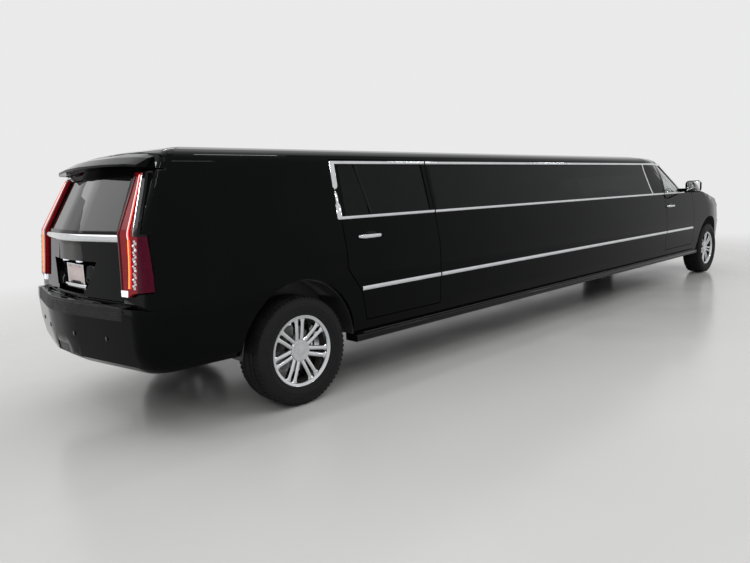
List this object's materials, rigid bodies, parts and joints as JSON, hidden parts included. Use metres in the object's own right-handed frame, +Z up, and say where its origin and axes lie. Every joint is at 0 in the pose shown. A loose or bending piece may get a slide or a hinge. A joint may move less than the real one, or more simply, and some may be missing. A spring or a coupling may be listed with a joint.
{
  "type": "stretch limousine",
  "caption": "Very long sport-utility limousine with a stretched middle section, a pair of doors at each end of each side, a lifting tailgate and hood, long dark side glass, running boards and spoked wheels.",
  "frame": {"origin": "On the ground, in the middle of the bounding box's length and width", "axes": "+Z up, the front faces -Y, +X is the vehicle's left side, the length runs along Y"},
  "size_m": [2.47, 10.715, 1.8899],
  "materials": {
    "gloss_black_paint": "gloss",
    "chrome": "polished",
    "dark_glass": "tinted",
    "tyre_rubber": "matte",
    "frame_steel": "satin",
    "floor_steel": "satin",
    "bare_steel": "dull",
    "cast_iron": "rough",
    "black_plastic": "matte",
    "black_leather": "satin",
    "dark_wood": "satin",
    "clear_lamp": "gloss",
    "red_lamp": "gloss"
  },
  "bodies": {
    "vehicle_body": {"chassis_frame": "frame_steel", "floor_pan": "floor_steel", "cowl_and_firewall": "gloss_black_paint", "roof_panel": "gloss_black_paint", "front_bumper": "gloss_black_paint", "grille": "chrome", "headlamps": "clear_lamp", "rear_bumper": "gloss_black_paint", "tail_lamps": "red_lamp", "windscreen": "dark_glass", "side_glass": "dark_glass", "wheel_liners": "black_plastic", "rear_axle": "frame_steel", "front_suspension": "frame_steel", "propshaft": "bare_steel", "engine_block": "cast_iron", "exhaust": "bare_steel", "fuel_tank": "black_plastic", "running_boards": "black_plastic", "dashboard": "black_plastic", "steering_wheel": "black_plastic", "front_seats": "black_leather", "partition": "black_leather", "saloon_bench": "black_leather", "bar_cabinet": "dark_wood", "body_side_left": "gloss_black_paint", "body_side_right": "gloss_black_paint", "fender_left": "gloss_black_paint", "fender_right": "gloss_black_paint"},
    "hood": {"hood": "gloss_black_paint"},
    "tailgate": {"tailgate": "gloss_black_paint", "tailgate_glass": "dark_glass", "rear_spoiler": "gloss_black_paint"},
    "front_door_left": {"front_door_left": "gloss_black_paint", "front_door_glass_left": "dark_glass", "mirror_left": "gloss_black_paint"},
    "rear_door_left": {"rear_door_left": "gloss_black_paint", "rear_door_glass_left": "dark_glass"},
    "steering_knuckle_left": {"knuckle_left": "frame_steel"},
    "front_wheel_left": {"front_rim_left": "chrome", "front_tyre_left": "tyre_rubber"},
    "rear_wheel_left": {"rear_rim_left": "chrome", "rear_tyre_left": "tyre_rubber"},
    "front_door_right": {"front_door_right": "gloss_black_paint", "front_door_glass_right": "dark_glass", "mirror_right": "gloss_black_paint"},
    "rear_door_right": {"rear_door_right": "gloss_black_paint", "rear_door_glass_right": "dark_glass"},
    "steering_knuckle_right": {"knuckle_right": "frame_steel"},
    "front_wheel_right": {"front_rim_right": "chrome", "front_tyre_right": "tyre_rubber"},
    "rear_wheel_right": {"rear_rim_right": "chrome", "rear_tyre_right": "tyre_rubber"}
  },
  "joints": [
    {"name": "front_door_left_swing", "type": "hinge", "parent": "vehicle_body", "child": "front_door_left", "pos_m": [1.022, -3.6325, 0.9], "axis": [0, 0, -1], "range_deg": [0, 68]},
    {"name": "rear_door_left_swing", "type": "hinge", "parent": "vehicle_body", "child": "rear_door_left", "pos_m": [1.022, 2.4975, 0.9], "axis": [0, 0, -1], "range_deg": [0, 68]},
    {"name": "steering_left", "type": "hinge", "parent": "vehicle_body", "child": "steering_knuckle_left", "pos_m": [0.812, -4.3545, 0.405], "axis": [0, 0, 1], "range_deg": [-32, 32]},
    {"name": "front_wheel_left_roll", "type": "hinge", "parent": "steering_knuckle_left", "child": "front_wheel_left", "pos_m": [0.872, -4.3545, 0.405], "axis": [1, 0, 0], "continuous": true},
    {"name": "rear_wheel_left_roll", "type": "hinge", "parent": "vehicle_body", "child": "rear_wheel_left", "pos_m": [0.872, 4.0275, 0.405], "axis": [1, 0, 0], "continuous": true},
    {"name": "front_door_right_swing", "type": "hinge", "parent": "vehicle_body", "child": "front_door_right", "pos_m": [-1.022, -3.6325, 0.9], "axis": [0, 0, 1], "range_deg": [0, 68]},
    {"name": "rear_door_right_swing", "type": "hinge", "parent": "vehicle_body", "child": "rear_door_right", "pos_m": [-1.022, 2.4975, 0.9], "axis": [0, 0, 1], "range_deg": [0, 68]},
    {"name": "steering_right", "type": "hinge", "parent": "vehicle_body", "child": "steering_knuckle_right", "pos_m": [-0.812, -4.3545, 0.405], "axis": [0, 0, 1], "range_deg": [-32, 32]},
    {"name": "front_wheel_right_roll", "type": "hinge", "parent": "steering_knuckle_right", "child": "front_wheel_right", "pos_m": [-0.872, -4.3545, 0.405], "axis": [1, 0, 0], "continuous": true},
    {"name": "rear_wheel_right_roll", "type": "hinge", "parent": "vehicle_body", "child": "rear_wheel_right", "pos_m": [-0.872, 4.0275, 0.405], "axis": [1, 0, 0], "continuous": true},
    {"name": "hood_lift", "type": "hinge", "parent": "vehicle_body", "child": "hood", "pos_m": [0, -3.9125, 1.338], "axis": [-1, 0, 0], "range_deg": [0, 52]},
    {"name": "tailgate_lift", "type": "hinge", "parent": "vehicle_body", "child": "tailgate", "pos_m": [0, 4.8875, 1.874], "axis": [1, 0, 0], "range_deg": [0, 86]}
  ],
  "couplings": [
    {"joint": "steering_right", "follows": "steering_left", "ratio": 1}
  ]
}
